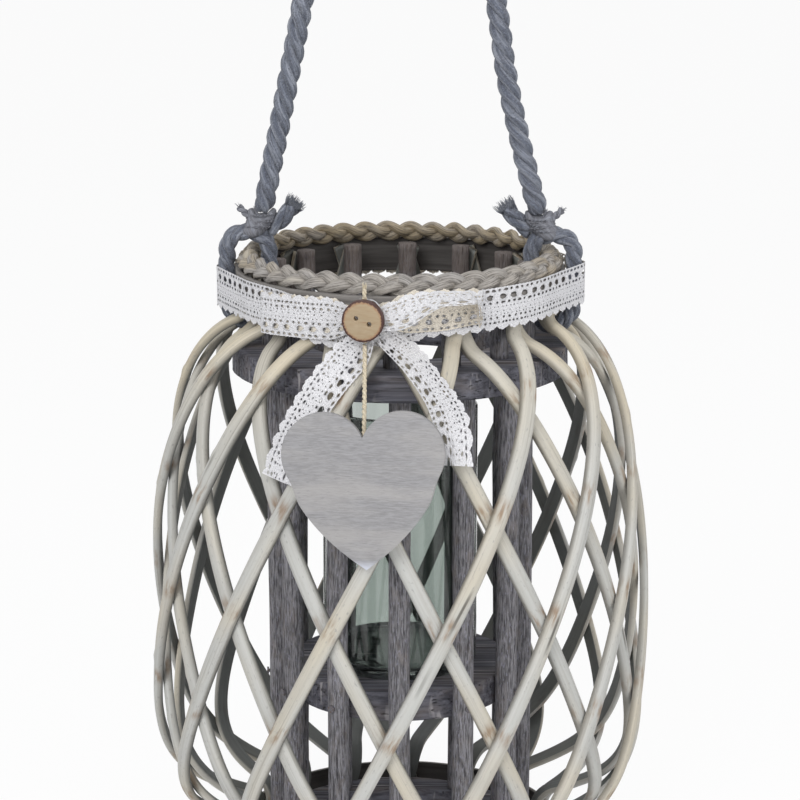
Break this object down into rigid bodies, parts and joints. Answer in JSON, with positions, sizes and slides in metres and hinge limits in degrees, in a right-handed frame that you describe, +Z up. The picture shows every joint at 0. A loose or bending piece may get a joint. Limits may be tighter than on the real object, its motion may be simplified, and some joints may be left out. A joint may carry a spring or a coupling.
{
  "type": "hurricane candle lantern",
  "caption": "Willow-lattice hurricane lantern with a lift-out glass cylinder on an inner shelf, a swinging rope handle and a lace ribbon with a hanging wooden heart.",
  "frame": {"origin": "centre of the base on the surface it stands on", "axes": "+Z up along the lantern's axis, -Y to the front with the heart, +X to the right seen from the front"},
  "size_m": [0.3386, 0.3453, 0.7028],
  "materials": {
    "willow": "grey-washed split willow, matt",
    "grey_stick": "weathered grey-violet bark, matt",
    "grey_board": "dark blue-grey sawn board, matt",
    "bent_wood": "grey-brown bent wood, matt",
    "sea_grass": "grey-beige plaited sea grass",
    "nail_iron": "dark iron",
    "clear_glass": "clear glass with a green tint at the edges",
    "rope": "slate-grey twisted cotton rope",
    "lace": "white cotton lace ribbon",
    "button_wood": "tan wood slice with a burnt rim",
    "string": "cream cotton string",
    "heart_wood": "grey-washed plywood"
  },
  "bodies": {
    "lantern": {"base_hoop": "bent_wood", "base_ring": "grey_board", "bow_loop": "lace", "bow_tail_left": "lace", "bow_tail_right": "lace", "inner_rod_01": "willow", "inner_rod_02": "willow", "inner_rod_03": "willow", "inner_rod_04": "willow", "inner_rod_05": "willow", "inner_rod_06": "willow", "inner_rod_07": "willow", "inner_rod_08": "willow", "inner_rod_09": "willow", "inner_rod_10": "willow", "inner_rod_11": "willow", "inner_rod_12": "willow", "inner_rod_13": "willow", "inner_rod_14": "willow", "lace_band": "lace", "nails": "nail_iron", "neck_hoop": "bent_wood", "neck_sticks": "grey_stick", "outer_rod_01": "willow", "outer_rod_02": "willow", "outer_rod_03": "willow", "outer_rod_04": "willow", "outer_rod_05": "willow", "outer_rod_06": "willow", "outer_rod_07": "willow", "outer_rod_08": "willow", "outer_rod_09": "willow", "outer_rod_10": "willow", "outer_rod_11": "willow", "outer_rod_12": "willow", "outer_rod_13": "willow", "outer_rod_14": "willow", "rim_braid": "sea_grass", "rope_loops": "rope", "rope_ties": "rope", "shelf_disc": "grey_board", "string_knot": "string", "top_ring": "grey_board", "upright_01": "grey_stick", "upright_02": "grey_stick", "upright_03": "grey_stick", "upright_04": "grey_stick", "upright_05": "grey_stick", "upright_06": "grey_stick", "upright_07": "grey_stick", "upright_08": "grey_stick", "upright_09": "grey_stick", "upright_10": "grey_stick", "upright_11": "grey_stick", "upright_12": "grey_stick", "wood_button": "button_wood"},
    "handle": {"rope_handle": "rope"},
    "glass": {"glass_cylinder": "clear_glass"},
    "pendant": {"heart_string": "string"},
    "heart": {"heart_tag": "heart_wood"}
  },
  "joints": [
    {"name": "handle_swing", "type": "hinge", "parent": "lantern", "child": "handle", "pos_m": [0, 0, 0.459], "axis": [0.9983, -0.0586, 0], "range_deg": [-100, 100]},
    {"name": "glass_lift", "type": "slide", "parent": "lantern", "child": "glass", "axis": [0, 0, 1], "range_m": [0, 0.288]},
    {"name": "heart_sway", "type": "hinge", "parent": "lantern", "child": "pendant", "pos_m": [-0.02216, -0.11956, 0.38762], "axis": [-0.1383, -0.9839, 0.1132], "range_deg": [-15, 15]},
    {"name": "heart_lift", "type": "hinge", "parent": "pendant", "child": "heart", "pos_m": [-0.02233, -0.15891, 0.33467], "axis": [-0.9903, 0.1392, 0], "range_deg": [0, 28]}
  ]
}
